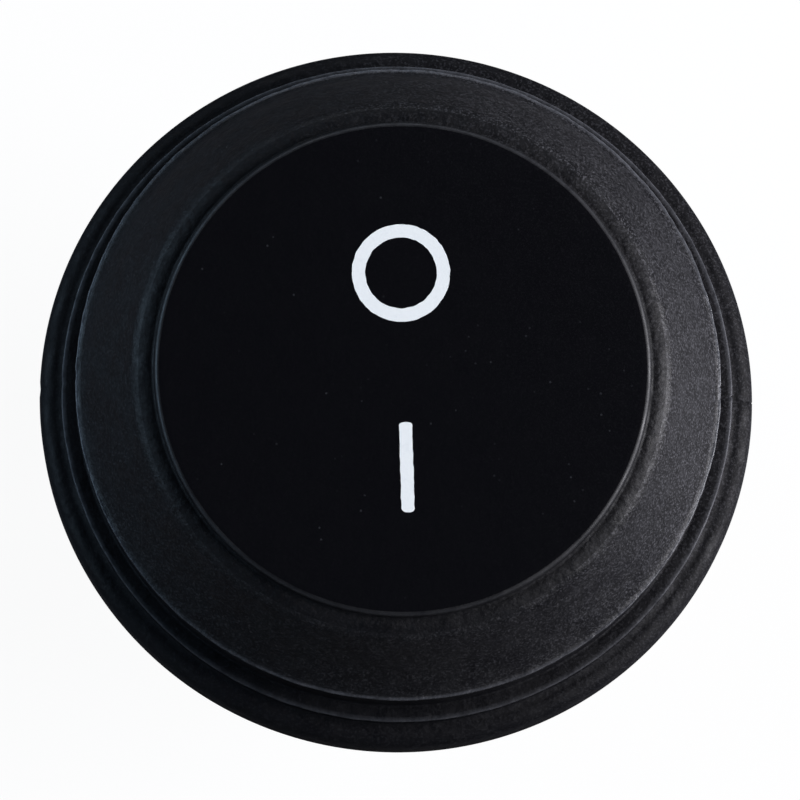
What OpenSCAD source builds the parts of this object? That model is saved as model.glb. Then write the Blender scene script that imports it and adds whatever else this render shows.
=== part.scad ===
// Sealed round rocker switch, double pole, on-off, for a 20 mm panel hole.
// Origin: centre of the hole on the face of the panel. +Z points to the user, +Y to the O side.
// It stands in the on position: the I side is pressed and both contact arms are closed.

/* [Bezel and boot] */
// Outside diameter of the rubber bezel
bezel_d = 23; // [22.8:0.1:23.4]
// Diameter of the step ring on the bezel
step_d = 21.56; // [21.5:0.02:21.7]
// Diameter of the lip at the foot of the cone
lip_d = 20.58; // [20.5:0.02:20.64]
// Diameter of the shoulder at the top of the cone
shoulder_d = 16.92; // [16.8:0.02:17.1]
// Diameter of the pressing disc
disc_d = 15.4; // [15.2:0.02:15.5]
// Height of the step ring above the panel
step_h = 2.0; // [1.9:0.05:2.1]
// Height of the lip above the panel
lip_h = 3.2; // [3.1:0.05:3.3]
// Height of the shelf round the disc, with the rocker level
shelf_h = 7.45; // [7.4:0.05:7.5]
// Height of the disc's face, with the rocker level
disc_h = 7.8; // [7.7:0.05:7.9]
// Facets round the boot
boot_sides = 64; // [48:8:72]

/* [Rocker] */
// Tilt of the rocker to each side
rocker_tilt = 6; // [5:0.5:6]
// Height of the rocker's pivot above the panel
pivot_h = 2.0; // [1.9:0.05:2.1]
// Outside diameter of the rocker's cup
rocker_d = 14.6; // [14.2:0.1:14.6]
// Diameter of the trunnion pins
trunnion_d = 1.8; // [1.6:0.1:1.9]

/* [Housing] */
// Diameter of the barrel that enters the panel hole
barrel_d = 19.8; // [19.6:0.1:19.8]
// Depth of the barrel behind the panel
barrel_depth = 14; // [13.8:0.1:15]
// Thickness of the barrel's wall
wall = 1.2; // [1.1:0.05:1.2]
// Thickness of the floor that holds the terminals
floor_t = 1.4; // [1.2:0.1:1.6]

/* [Contacts] */
// Distance of each pole from the middle plane
pole_x = 3.5; // [3.4:0.05:3.5]
// Width of the contact arms
arm_w = 3.0; // [2.8:0.1:3.2]
// Thickness of the contact arms
arm_t = 0.4; // [0.35:0.05:0.4]
// Tilt of the contact arms to each side
arm_tilt = 10.5; // [10:0.5:10.5]
// Radius of the trough in which the plunger rides
trough_r = 2.2; // [2.1:0.05:2.3]
// Radius of the plunger's round tip
tip_r = 0.9; // [0.85:0.01:0.9]
// Distance from the pivot to the centre of the plunger's tip
tip_reach = 8.3; // [8.3:0.05:8.4]

/* [Terminals] */
// Width of the flat tabs
tab_w = 4.8; // [4.6:0.1:4.8]
// Thickness of the terminals
tab_t = 0.8; // [0.7:0.1:0.8]
// Length of the tabs below the floor
tab_len = 7.5; // [6.4:0.1:9]

/* [Hidden] */
$fn = 64;
eps = 0.01;

// Housing
barrel_r = barrel_d / 2;
bore_r = barrel_r - wall;
edge = 0.4;
taper_top = -9;
taper_r = barrel_r - 0.8;
flange_r = 10.3;
flange_z = [0.5, 1.6];
collar_r = 9.5;
collar_top = 3.1;
ear_top = 3.6;
ear_r = 9.1;
ear_w = 4.4;
floor_top = floor_t - barrel_depth;
seat_top = floor_top + 1.4;
partition_t = 1.0;
partition_top = -5.2;
key_w = 2.0;
key_r = 10.4;
wing_w = 4.0;
wing_z = [-8.0, -1.0];
wing_t = 0.8;
wing_gap = 0.6;
wing_reach = 10.45;
wing_root = 9.35;
wing_steps = [
    [9.8, wing_z[0]], [wing_reach, -3.3], [wing_reach, -2.9], [10.3, -2.9], [10.3, -2.2],
    [10.15, -2.2], [10.15, -1.5], [10, -1.5], [10, wing_z[1]]
];
sunk = 0.2;
slot_gap = 0.04;
socket = [3.0, 1.1];
ledge_w = 1.2;
rivet_room = 1.05;

// Rocker, in a frame with its origin on the pivot
rocker_r = rocker_d / 2;
rocker_top = 4.8;
rocker_bottom = -1.5;
rocker_wall = 1.2;
rocker_roof = 1.3;
rib_half_t = 0.4;
rib_reach = 4.8;
post_r = 1.95;
post_bore_r = 1.3;
post_bottom = -4.0;
post_roof = 2.6;
boss_r = 1.5;
boss_x = bore_r - 0.25;
trunnion_r = trunnion_d / 2;
trunnion_x = 9.35;
bearing_gap = 0.05;
lead_in = 0.2;

// Plunger and its spring, in the same frame
plunger_r = 1.25;
plunger_z = [-6.6, -1.8];
guide_r = 0.55;
guide_top = -0.4;
coil_r = 0.9;
wire_r = 0.14;
coil_turns = 6.5;

// Fulcrum: the plunger's tip clears the bottom of the trough by tip_gap when the rocker is level
tip_gap = 0.035;
arm_lift = 0.015;
fulcrum_h = pivot_h - tip_reach - tip_r - tip_gap - arm_t - arm_lift;
edge_r = tab_t / 2;

// Contact arm, in a frame with its origin on the fulcrum
trough_mid = trough_r + arm_t / 2;
trough_c = arm_lift + arm_t + trough_r;
trough_half = 31;
wing_start_a = 28;
wing_y = trough_mid * sin(wing_start_a);
wing_h = trough_c - trough_mid * cos(wing_start_a);
wing_len = 4.6;
notch_half = 0.6;
waist_w = 2.0;
contact_d = 3.2;
rivet_r = 0.65;
rivet_foot = 0.95;
rivet_head = 0.25;
contact_r = 1.2;
contact_t = 0.5;
contact_edge = 0.15;

// Where the closed contacts meet: the arm turned by its tilt brings its wing level
arm_at = [wing_y + contact_d * cos(arm_tilt), wing_h + contact_d * sin(arm_tilt)];
contact_y = arm_at[0] * cos(arm_tilt) + arm_at[1] * sin(arm_tilt);
closed_h = fulcrum_h + arm_at[1] * cos(arm_tilt) - arm_at[0] * sin(arm_tilt);
fixed_t = 0.6;
contact_gap = 0.02;
shelf_top = closed_h - arm_t / 2 - contact_t - contact_gap - fixed_t;
load_y = 5.8;

// Terminals: tabs, the common one's fork round the fulcrum and the load one's strip
fork = [1.1, 1.9];
fork_foot = [-9.6, -9.1];
strip_half = 1.5;
strip_foot = [-10.6, -10.3];
tab_shoulder = 0.4;
tab_tip = [0.8, 1];
lock_hole = [3, 1.4];
bend = 0.9;

// Boot
lip_r = lip_d / 2;
step_r = step_d / 2;
shoulder_r = shoulder_d / 2;
disc_r = disc_d / 2;
bezel_r = bezel_d / 2;
boot_t = 0.65;
pocket_r = rocker_r + 0.1;
pocket_h = pivot_h + rocker_top + 0.05;
pocket_foot = pocket_h - 0.4;
shoulder_round = 0.5;
flex_z = [lip_h, 6.15];
cap_foot = 6.4;
web_rings = 8;
web_sink = 0.25;
web_step = 0.03;
seal = [barrel_r + 0.05, 10.55];
fit = 0.02;
cone_a = atan2(shelf_h - shoulder_round - lip_h, lip_r - shoulder_r);

function mix(a, b, t) = a + (b - a) * t;
function clamp01(t) = max(0, min(1, t));
function ease(t) = t * t * (3 - 2 * t);

// Points of an arc round [r, z]
function arc(r, z, radius, a0, a1, n) = [
    for (i = [0:n]) [r + radius * cos(mix(a0, a1, i / n)), z + radius * sin(mix(a0, a1, i / n))]
];

// Share of the rocker's tilt that the rubber takes at a height
function share(z) = ease(clamp01((z - flex_z[0]) / (flex_z[1] - flex_z[0])));

// A profile point [r, z] at angle a round the boot, bent with the rocker
function bent(p, a) =
    let (t = rocker_tilt * share(p[1]), y = p[0] * sin(a), h = p[1] - pivot_h)
    [p[0] * cos(a), y * cos(t) - h * sin(t), y * sin(t) + h * cos(t) + pivot_h];

// Ends of the cone's straight stretch, and the same points on its inner side
cone_foot = [lip_r - 0.08, lip_h];
cone_head = [
    shoulder_r - shoulder_round + shoulder_round * sin(cone_a),
    shelf_h - shoulder_round + shoulder_round * cos(cone_a)
];
inward = boot_t * [-sin(cone_a), -cos(cone_a)];
inner_foot = cone_foot + inward;
inner_head = cone_head + inward;

// Points on the outer and the inner side of the cone at a height
function cone_at(z) = mix(cone_foot, cone_head, (z - lip_h) / (cone_head[1] - lip_h));
function inner_at(z) = mix(inner_foot, inner_head, (z - inner_foot[1]) / (inner_head[1] - inner_foot[1]));

// Section of the skirt: sealing lip, groove for the flange, step ring and cone lip
skirt_section = concat(
    [[seal[1], 0], [seal[0], 0.1], [seal[0], flange_z[0] - fit]],
    [[flange_r + fit, flange_z[0] - fit], [flange_r + fit, flange_z[1] + fit]],
    [[collar_r + 0.05, flange_z[1] + fit], inner_foot, inner_at(lip_h), cone_foot],
    [[lip_r, lip_h - 0.06], [lip_r, step_h + 0.15], [lip_r + 0.08, step_h + 0.05]],
    [[step_r - 0.1, step_h], [step_r, step_h - 0.1], [step_r, 1.45], [step_r + 0.1, 1.32]],
    arc(bezel_r - 0.35, 0.85, 0.35, 75, 0, 4),
    arc(bezel_r - 0.2, 0.2, 0.2, 0, -90, 3)
);

// Section of the cap, level: disc, shelf, shoulder and the pocket for the rocker
cap_section = concat(
    [[0, disc_h]],
    arc(disc_r - 0.1, disc_h - 0.1, 0.1, 90, 0, 3),
    [[disc_r, shelf_h + 0.08], [disc_r + 0.1, shelf_h]],
    arc(shoulder_r - shoulder_round, shelf_h - shoulder_round, shoulder_round, 90, 90 - cone_a, 6),
    [cone_at(cap_foot), inner_at(cap_foot), inner_head],
    [[pocket_r, pocket_foot], [pocket_r, pocket_h], [0, pocket_h]]
);

// Section of the bending web between them, sunk into both by web_sink and thinner by web_step
web_z = [for (i = [0:web_rings]) mix(lip_h - web_sink, cap_foot + web_sink, i / web_rings)];
web_section = concat(
    [for (i = [web_rings:-1:0]) cone_at(web_z[i]) + web_step / boot_t * inward],
    [for (i = [0:web_rings]) inner_at(web_z[i]) - web_step / boot_t * inward]
);

module at_rocker() {
    translate([0, 0, pivot_h]) rotate([rocker_tilt, 0, 0]) children();
}

module at_arm(side) {
    translate([side * pole_x, 0, fulcrum_h]) rotate([-arm_tilt, 0, 0]) children();
}

// Mirrors what is drawn for the right pole to the left one
module for_side(side) {
    mirror([side < 0 ? 1 : 0, 0, 0]) children();
}

// A block given by its two corners
module block(a, b) {
    translate(a) cube(b - a);
}

// Extrudes an outline drawn in [Y, Z] along X
module along_x(width) {
    rotate([90, 0, 90]) linear_extrude(width, center = true) children();
}

// Extrudes an outline drawn in [X, Z] along Y
module along_y(thickness) {
    rotate([90, 0, 0]) linear_extrude(thickness, center = true) children();
}

// A closed skin through rings of points. The ends are capped, or joined to each other in a loop.
module skin(rings, loop = false) {
    n = len(rings[0]);
    count = len(rings);
    function at(k, j) = (k % count) * n + j % n;
    last = loop ? count - 1 : count - 2;
    sides = concat(
        [for (k = [0:last]) for (j = [0:n - 1]) [at(k, j), at(k, j + 1), at(k + 1, j + 1)]],
        [for (k = [0:last]) for (j = [0:n - 1]) [at(k, j), at(k + 1, j + 1), at(k + 1, j)]]
    );
    caps = loop ? [] : [
        [for (j = [0:n - 1]) at(0, n - 1 - j)],
        [for (j = [0:n - 1]) at(count - 1, j)]
    ];
    polyhedron([for (ring = rings) for (p = ring) p], concat(sides, caps));
}

module boot() {
    color([0.06, 0.06, 0.07]) {
        rotate_extrude($fn = 96) polygon(skirt_section);
        at_rocker() translate([0, 0, -pivot_h]) rotate_extrude($fn = 96) polygon(cap_section);
        skin([for (p = web_section)
            [for (j = [0:boot_sides - 1]) bent(p, 360 * j / boot_sides)]], loop = true);
    }
}

// Barrel, bezel flange and collar in one revolved section
module barrel_shell() {
    rotate_extrude($fn = 96) polygon([
        [0, -barrel_depth], [taper_r - edge, -barrel_depth], [taper_r, edge - barrel_depth],
        [barrel_r, taper_top], [barrel_r, flange_z[0]],
        [flange_r, flange_z[0]], [flange_r, flange_z[1]],
        [collar_r, flange_z[1]], [collar_r, collar_top - 0.2], [collar_r - 0.2, collar_top],
        [bore_r, collar_top], [bore_r, floor_top], [0, floor_top]
    ]);
}

// The two ears of the collar that carry the trunnions
module ears() {
    intersection() {
        difference() {
            cylinder(h = ear_top, r = ear_r);
            translate([0, 0, -eps]) cylinder(h = ear_top + 2 * eps, r = bore_r);
        }
        block([-collar_r, -ear_w / 2, collar_top - 0.5], [collar_r, ear_w / 2, ear_top]);
    }
}

// Serrated snap wing on the +X side, with steps for different panels
module snap_wing() {
    along_y(wing_w) polygon(concat([[wing_root, wing_z[0]]], wing_steps, [[wing_root, wing_z[1]]]));
}

// Slot round the wing's tongue and the thinning behind it
module wing_cut() {
    for (s = [-1, 1])
        translate([bore_r - 1, s * (wing_w + wing_gap) / 2 - wing_gap / 2, wing_z[0]])
            cube([4, wing_gap, wing_z[1] - wing_z[0] + wing_gap]);
    block([bore_r - 1, -wing_w / 2 - wing_gap, wing_z[1]],
          [bore_r + 3, wing_w / 2 + wing_gap, wing_z[1] + wing_gap]);
    block([bore_r - 1, -wing_w / 2, wing_z[0]], [barrel_r - wing_t, wing_w / 2, wing_z[1]]);
}

// Raised socket in the floor round a terminal at y
module terminal_socket(y) {
    intersection() {
        block([pole_x - socket[0], y - socket[1], floor_top - sunk],
              [pole_x + socket[0], y + socket[1], seat_top]);
        cylinder(h = 2 * barrel_depth, r = bore_r + sunk, center = true);
    }
}

module terminal_slot(y) {
    half_w = tab_w / 2 + slot_gap;
    half_t = tab_t / 2 + slot_gap;
    block([pole_x - half_w, y - half_t, -barrel_depth - 1], [pole_x + half_w, y + half_t, seat_top + 1]);
}

// Ledges under the fixed contact and under the arm's free end
module contact_ledges() {
    difference() {
        block([pole_x - ledge_w, contact_y - ledge_w - 0.1, floor_top - sunk],
              [pole_x + ledge_w, load_y - tab_t / 2 - 0.1, shelf_top - tab_t - eps]);
        translate([pole_x, contact_y, shelf_top - tab_t - rivet_head - 0.15])
            cylinder(h = 1, r = rivet_room);
    }
    block([pole_x - ledge_w, -contact_y - ledge_w / 2, floor_top - sunk],
          [pole_x + ledge_w, -contact_y + ledge_w / 2, closed_h - arm_t / 2 - 0.05]);
}

module housing() {
    color([0.09, 0.09, 0.1]) {
        difference() {
            union() {
                barrel_shell();
                ears();
                block([-partition_t / 2, -bore_r - 0.2, floor_top - 0.2],
                      [partition_t / 2, bore_r + 0.2, partition_top]);
                block([-key_w / 2, bore_r + 0.4, -2.6], [key_w / 2, key_r, -0.05]);
                for (side = [-1, 1]) for_side(side) {
                    terminal_socket(0);
                    terminal_socket(load_y);
                    contact_ledges();
                }
            }
            for (side = [-1, 1]) for_side(side) {
                terminal_slot(0);
                terminal_slot(load_y);
                wing_cut();
                translate([bore_r - 0.1, 0, pivot_h]) rotate([0, 90, 0])
                    cylinder(h = 1.15, r = trunnion_r + bearing_gap);
            }
        }
        for (side = [-1, 1]) for_side(side) snap_wing();
    }
}

// Cup of the rocker in one revolved section
module rocker_cup() {
    rotate_extrude($fn = 96) polygon([
        [0, rocker_top], [rocker_r - 0.4, rocker_top], [rocker_r, rocker_top - 0.4],
        [rocker_r, rocker_bottom], [rocker_r - rocker_wall, rocker_bottom],
        [rocker_r - rocker_wall, rocker_top - rocker_roof], [0, rocker_top - rocker_roof]
    ]);
}

module trunnion() {
    rotate([0, 90, 0]) {
        translate([0, 0, rocker_r - rocker_wall / 2])
            cylinder(h = boss_x - rocker_r + rocker_wall / 2, r = boss_r);
        cylinder(h = trunnion_x - lead_in, r = trunnion_r);
        translate([0, 0, trunnion_x - lead_in])
            cylinder(h = lead_in, r1 = trunnion_r, r2 = trunnion_r - lead_in);
    }
}

module rocker() {
    inside = rocker_r - rocker_wall + 0.2;
    rib_top = rocker_top - rocker_roof + 0.3;
    color([0.13, 0.13, 0.14]) at_rocker() difference() {
        union() {
            rocker_cup();
            block([-inside, -0.5, 0.2], [inside, 0.5, rib_top]);
            for (side = [-1, 1]) for_side(side) {
                difference() {
                    trunnion();
                    translate([0, 0, rocker_bottom - 1]) cylinder(h = 6, r = inside - 0.1);
                }
                translate([pole_x, 0, post_bottom]) cylinder(h = rib_top - post_bottom, r = post_r);
                block([pole_x - rib_half_t, -rib_reach, 0.8], [pole_x + rib_half_t, rib_reach, rib_top]);
            }
        }
        for (side = [-1, 1]) translate([side * pole_x, 0, post_bottom - 1])
            cylinder(h = post_roof - post_bottom + 1, r = post_bore_r);
    }
}

module plunger(side) {
    color([0.93, 0.92, 0.86]) at_rocker() translate([side * pole_x, 0, 0]) {
        translate([0, 0, -tip_reach]) sphere(r = tip_r);
        translate([0, 0, -tip_reach]) cylinder(h = plunger_z[0] + tip_reach + eps, r = tip_r);
        rotate_extrude() polygon([
            [0, plunger_z[0] - 0.4], [tip_r, plunger_z[0] - 0.4], [plunger_r, plunger_z[0]],
            [plunger_r, plunger_z[1] - lead_in], [plunger_r - lead_in, plunger_z[1]],
            [guide_r, plunger_z[1]], [guide_r, guide_top - lead_in], [guide_r - lead_in, guide_top],
            [0, guide_top]
        ]);
    }
}

// Height of the wire along the spring: one closed turn at each end
function coil_height(turn, length) =
    let (closed = 2.1 * wire_r, open = (length - 2 * wire_r - 2 * closed) / (coil_turns - 2))
    turn < 1 ? closed * turn
    : turn > coil_turns - 1 ? closed + open * (coil_turns - 2) + closed * (turn - coil_turns + 1)
    : closed + open * (turn - 1);

module coil_spring(length) {
    steps = floor(coil_turns * 14);
    skin([for (i = [0:steps])
        let (turn = coil_turns * i / steps, z = wire_r + coil_height(turn, length))
        [for (j = [0:5]) let (r = coil_r + wire_r * cos(60 * j))
            [r * cos(360 * turn), r * sin(360 * turn), z + wire_r * sin(60 * j)]]]);
}

module plunger_spring(side) {
    color([0.75, 0.76, 0.78]) at_rocker() translate([side * pole_x, 0, plunger_z[1] + eps])
        coil_spring(post_roof - plunger_z[1] - 2 * eps);
}

// Outline of the strip: a round trough on the fulcrum and a rising wing to each side
module arm_outline() {
    intersection() {
        translate([0, trough_c]) difference() {
            circle(r = trough_r + arm_t);
            circle(r = trough_r);
        }
        translate([0, trough_c]) polygon([
            [0, 0], [-4 * sin(trough_half), -4 * cos(trough_half)],
            [4 * sin(trough_half), -4 * cos(trough_half)]
        ]);
    }
    for (s = [-1, 1]) translate([s * wing_y, wing_h]) rotate(s * arm_tilt)
        translate([min(0, s * wing_len), -arm_t / 2]) square([wing_len, arm_t]);
}

module at_arm_contact(side) {
    at_arm(side) translate([0, arm_at[0], arm_at[1]]) rotate([arm_tilt, 0, 0]) children();
}

module contact_arm(side) {
    color([0.8, 0.6, 0.32]) difference() {
        at_arm(side) difference() {
            along_x(arm_w) arm_outline();
            for (s = [-1, 1]) translate([s * (waist_w + arm_w) / 2, 0, 0])
                cube([arm_w, 2 * notch_half, 6], center = true);
        }
        at_arm_contact(side) cylinder(h = 2, r = rivet_r + 0.02, center = true);
    }
}

module moving_contact(side) {
    half = arm_t / 2;
    color([0.85, 0.85, 0.87]) at_arm_contact(side) rotate_extrude() polygon([
        [0, -half - contact_t], [contact_r - contact_edge, -half - contact_t],
        [contact_r, -half - contact_t + contact_edge], [contact_r, -half - eps],
        [rivet_r, -half - eps], [rivet_r, half + eps], [rivet_foot, half + eps],
        [rivet_foot - 0.1, half + rivet_head - 0.05], [0, half + rivet_head]
    ]);
}

module fixed_contact(side) {
    color([0.85, 0.85, 0.87]) translate([side * pole_x, contact_y, shelf_top]) rotate_extrude()
        polygon([
            [0, fixed_t], [contact_r - contact_edge, fixed_t], [contact_r, fixed_t - contact_edge],
            [contact_r, eps], [rivet_r, eps], [rivet_r, -tab_t - eps], [rivet_foot, -tab_t - eps],
            [rivet_foot - 0.1, -tab_t - rivet_head + 0.05], [0, -tab_t - rivet_head]
        ]);
}

// Outline of a tab in [X, Z] below its shoulder, with its locking hole
module tab_outline() {
    tip = -barrel_depth - tab_len;
    half = tab_w / 2;
    difference() {
        polygon([
            [-half + tab_tip[0], tip], [half - tab_tip[0], tip], [half, tip + tab_tip[1]],
            [half, seat_top + eps], [-half, seat_top + eps], [-half, tip + tab_tip[1]]
        ]);
        translate([0, tip + lock_hole[0]]) circle(d = lock_hole[1]);
    }
}

module common_terminal(side) {
    half = tab_w / 2;
    top = fulcrum_h + 1.2;
    color([0.83, 0.66, 0.36]) for_side(side) translate([pole_x, 0, 0]) {
        along_y(tab_t) {
            tab_outline();
            polygon([
                [-half - tab_shoulder, seat_top], [half, seat_top], [half, fork_foot[0]],
                [fork[1], fork_foot[1]], [fork[1], top], [fork[0], top], [fork[0], fulcrum_h - edge_r],
                [-fork[0], fulcrum_h - edge_r], [-fork[0], top], [-fork[1], top],
                [-fork[1], fork_foot[1]], [-half - tab_shoulder, fork_foot[0]]
            ]);
        }
        translate([0, 0, fulcrum_h - edge_r]) rotate([0, 90, 0])
            cylinder(h = 2 * fork[0], r = edge_r, center = true);
    }
}

module load_terminal(side) {
    half = tab_w / 2;
    outer = load_y + tab_t / 2;
    inner = contact_y - 1.5;
    color([0.83, 0.66, 0.36]) for_side(side) translate([pole_x, 0, 0]) difference() {
        union() {
            translate([0, load_y, 0]) along_y(tab_t) {
                tab_outline();
                polygon([
                    [-half - tab_shoulder, seat_top], [half, seat_top], [half, strip_foot[0]],
                    [strip_half, strip_foot[1]], [strip_half, shelf_top - bend],
                    [-strip_half, shelf_top - bend], [-strip_half, strip_foot[1]],
                    [-half - tab_shoulder, strip_foot[0]]
                ]);
            }
            along_x(2 * strip_half) {
                translate([inner, shelf_top - tab_t]) square([outer - bend - inner, tab_t]);
                translate([outer - bend, shelf_top - bend]) intersection() {
                    difference() {
                        circle(r = bend);
                        circle(r = bend - tab_t);
                    }
                    square(bend);
                }
            }
        }
        translate([0, contact_y, shelf_top]) cylinder(h = 4, r = rivet_r + 0.02, center = true);
    }
}

housing();
boot();
rocker();
plunger(-1);  // plunger_left
plunger(1);  // plunger_right
plunger_spring(-1);  // plunger_spring_left
plunger_spring(1);  // plunger_spring_right
contact_arm(-1);  // contact_arm_left
contact_arm(1);  // contact_arm_right
moving_contact(-1);  // moving_contact_left
moving_contact(1);  // moving_contact_right
fixed_contact(-1);  // fixed_contact_left
fixed_contact(1);  // fixed_contact_right
common_terminal(-1);  // common_terminal_left
common_terminal(1);  // common_terminal_right
load_terminal(-1);  // load_terminal_left
load_terminal(1);  // load_terminal_right
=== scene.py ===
"""Dresses the sealed round rocker switch and sets up its studio."""

import math

import bmesh
import bpy
from bpy.props import FloatProperty, FloatVectorProperty, IntProperty, PointerProperty
from bpy.types import Operator, Panel, PropertyGroup
from mathutils import Matrix, Vector, noise


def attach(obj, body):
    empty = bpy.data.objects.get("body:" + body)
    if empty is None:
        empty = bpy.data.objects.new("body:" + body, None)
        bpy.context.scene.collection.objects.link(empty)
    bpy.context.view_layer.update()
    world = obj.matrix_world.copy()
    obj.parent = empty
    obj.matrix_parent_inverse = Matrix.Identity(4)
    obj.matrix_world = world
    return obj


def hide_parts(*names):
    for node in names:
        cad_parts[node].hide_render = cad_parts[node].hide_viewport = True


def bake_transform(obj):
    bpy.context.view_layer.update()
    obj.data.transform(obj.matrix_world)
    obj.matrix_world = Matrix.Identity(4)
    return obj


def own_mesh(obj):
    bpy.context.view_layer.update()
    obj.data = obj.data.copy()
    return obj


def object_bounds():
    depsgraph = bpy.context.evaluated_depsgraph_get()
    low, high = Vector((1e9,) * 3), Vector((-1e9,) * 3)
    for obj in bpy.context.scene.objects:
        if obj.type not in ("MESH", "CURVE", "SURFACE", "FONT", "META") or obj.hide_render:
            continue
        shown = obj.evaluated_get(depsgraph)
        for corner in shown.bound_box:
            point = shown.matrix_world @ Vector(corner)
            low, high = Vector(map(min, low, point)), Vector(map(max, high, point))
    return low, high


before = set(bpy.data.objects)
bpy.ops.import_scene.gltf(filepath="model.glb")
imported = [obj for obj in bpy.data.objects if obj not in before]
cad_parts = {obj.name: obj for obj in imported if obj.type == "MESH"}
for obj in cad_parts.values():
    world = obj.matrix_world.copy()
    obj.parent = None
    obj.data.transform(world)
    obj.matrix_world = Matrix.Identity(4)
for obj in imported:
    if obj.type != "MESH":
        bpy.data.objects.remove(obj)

bl_info = {
    "name": "Sealed rocker switch",
    "version": (1, 0, 0),
    "blender": (4, 5, 0),
    "location": "3D View > Sidebar > Switch",
    "description": "Builds the boot, marks, springs, finishes and studio of a round rocker switch",
    "category": "Object",
}

CAD_BOX = [list(corner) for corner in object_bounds()]
MM = 0.001

# The rocker stands tilted to its I side about this pivot, in millimetres
PIVOT = Vector((0, 0, 2.0))
REST_TILT = math.radians(6)
TILTED = Matrix.Rotation(REST_TILT, 4, "X")

# The two poles, and their distance from the middle in millimetres
SIDES = {"left": -1, "right": 1}
POLE_X = 3.5


def length(name, text, default):
    """A property that holds a length given in millimetres."""
    return FloatProperty(name=name, description=text, default=default * MM, min=0.0,
                         precision=5, unit="LENGTH", subtype="DISTANCE")


def colour(name, text, default):
    return FloatVectorProperty(name=name, description=text, default=default, size=3,
                               min=0.0, max=1.0, subtype="COLOR")


class SWITCH_PG_boot(PropertyGroup):
    """Sizes of the rubber boot with the rocker level, heights above the panel"""

    bezel_d: length("Bezel", "Outside diameter of the bezel", 22.99)
    bezel_top: length("Bezel top", "Height of the bezel's upper face", 1.32)
    bezel_round: length("Bezel round", "Reach of the rounding round the bezel", 0.5)
    step_d: length("Step ring", "Diameter of the step ring", 21.56)
    step_h: length("Step height", "Height of the step ring", 1.9)
    step_round: length("Step round", "Reach of the step ring's rounding", 0.07)
    lip_d: length("Lip", "Diameter of the lip at the foot of the cone", 20.58)
    lip_h: length("Lip height", "Height of the lip", 3.2)
    shoulder_d: length("Shoulder", "Diameter of the shoulder's corner", 16.60)
    shoulder_round: length("Shoulder round", "Reach of the shoulder's rounding", 0.46)
    shelf_h: length("Shelf height", "Height of the shelf round the disc", 7.45)
    disc_d: length("Disc", "Diameter of the pressing disc", 15.4)
    disc_h: length("Disc height", "Height of the disc's face", 7.8)
    rim_round: length("Disc rim", "Reach of the disc rim's rounding", 0.13)
    flare: length("Flare", "Outward curve at the foot of the cone", 0.06)
    flash: length("Flash", "Height of the moulding flash on the lip", 0.05)
    nick: length("Parting nick", "Depth of the nick at each parting line", 0.05)
    sides: IntProperty(name="Sides", description="Steps round the boot", default=480, min=96, max=720)


class SWITCH_PG_marks(PropertyGroup):
    """Sizes of the printed marks"""

    ring_d: length("Ring", "Outside diameter of the O", 3.05)
    stroke: length("Stroke", "Width of the printed strokes", 0.416)
    bar: length("Bar", "Length of the I", 2.80)
    ring_y: length("Ring offset", "Distance of the O from the disc's centre", 2.97)
    bar_y: length("Bar offset", "Distance of the I from the disc's centre", 3.09)
    ink_t: length("Ink", "Thickness of the ink", 0.015)
    skew: FloatProperty(name="Skew", description="Turn of the print on the disc",
                        default=math.radians(1.9), unit="ROTATION", subtype="ANGLE")


class SWITCH_PG_colours(PropertyGroup):
    """Base colours of the finishes"""

    rubber: colour("Rubber", "Black rubber of the boot", (0.0021, 0.0021, 0.0030))
    # Pale rubber for the grain's specks and for the painted sheen on the lit side
    rubber_grain_and_sheen: colour("Rubber grain", "Rubber on the raised grain", (0.06, 0.06, 0.067))
    # Pale rubber for the thin edges, partly wear and flash and partly a painted edge highlight, and
    # for dust specks on the disc
    rubber_wear_glint_dust: colour("Rubber edge", "Rubber on thin edges and flash", (0.085, 0.088, 0.098))
    ink: colour("Ink", "White printing ink", (0.80, 0.82, 0.81))
    housing: colour("Housing", "Black nylon of the housing", (0.014, 0.014, 0.0155))
    rocker: colour("Rocker", "Dark nylon of the rocker", (0.028, 0.028, 0.03))
    acetal: colour("Acetal", "Natural acetal of the plungers", (0.80, 0.78, 0.70))
    steel: colour("Steel", "Spring wire", (0.56, 0.57, 0.59))
    brass: colour("Brass", "Stamped terminals", (0.90, 0.71, 0.38))
    bronze: colour("Bronze", "Rolled contact arms", (0.86, 0.58, 0.36))
    silver: colour("Silver", "Contact rivets", (0.83, 0.82, 0.80))


class SWITCH_PG_studio(PropertyGroup):
    """Light and camera"""

    key: FloatProperty(name="Key", description="Power of the softbox on the right", default=2.05,
                       min=0.0, unit="POWER")
    fill: FloatProperty(name="Fill", description="Power of the dim bluish light on the left",
                        default=0.6, min=0.0, unit="POWER")
    top: FloatProperty(name="Top", description="Power of the weak light at the back",
                       default=0.12, min=0.0, unit="POWER")
    lean: FloatProperty(name="Lean", description="Camera's angle from straight above, to the I side",
                        default=math.radians(12.25), unit="ROTATION", subtype="ANGLE")
    side: FloatProperty(name="Side lean", description="Camera's angle to the left",
                        default=math.radians(1.7), unit="ROTATION", subtype="ANGLE")
    lens: FloatProperty(name="Lens", description="Focal length", default=243.0, min=50.0,
                        unit="CAMERA")
    frame_width: length("Frame width", "Width that the image covers at the bezel", 25.8)


# Mesh helpers. Shapes are made in millimetres and brought to metres when they are finished.


def spin_profile(profile, steps):
    """A surface of revolution round Z from [radius, height] points."""
    bm = bmesh.new()
    verts = [bm.verts.new((r, 0, z)) for r, z in profile]
    edges = [bm.edges.new(pair) for pair in zip(verts, verts[1:])]
    bmesh.ops.spin(bm, geom=verts + edges, cent=(0, 0, 0), axis=(0, 0, 1),
                   angle=2 * math.pi, steps=steps, use_merge=True)
    bmesh.ops.remove_doubles(bm, verts=bm.verts, dist=1e-4)
    bmesh.ops.recalc_face_normals(bm, faces=bm.faces)
    return bm


def on_ring(vert, r, z, near=0.004):
    return abs(math.hypot(vert.co.x, vert.co.y) - r) < near and abs(vert.co.z - z) < near


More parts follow.
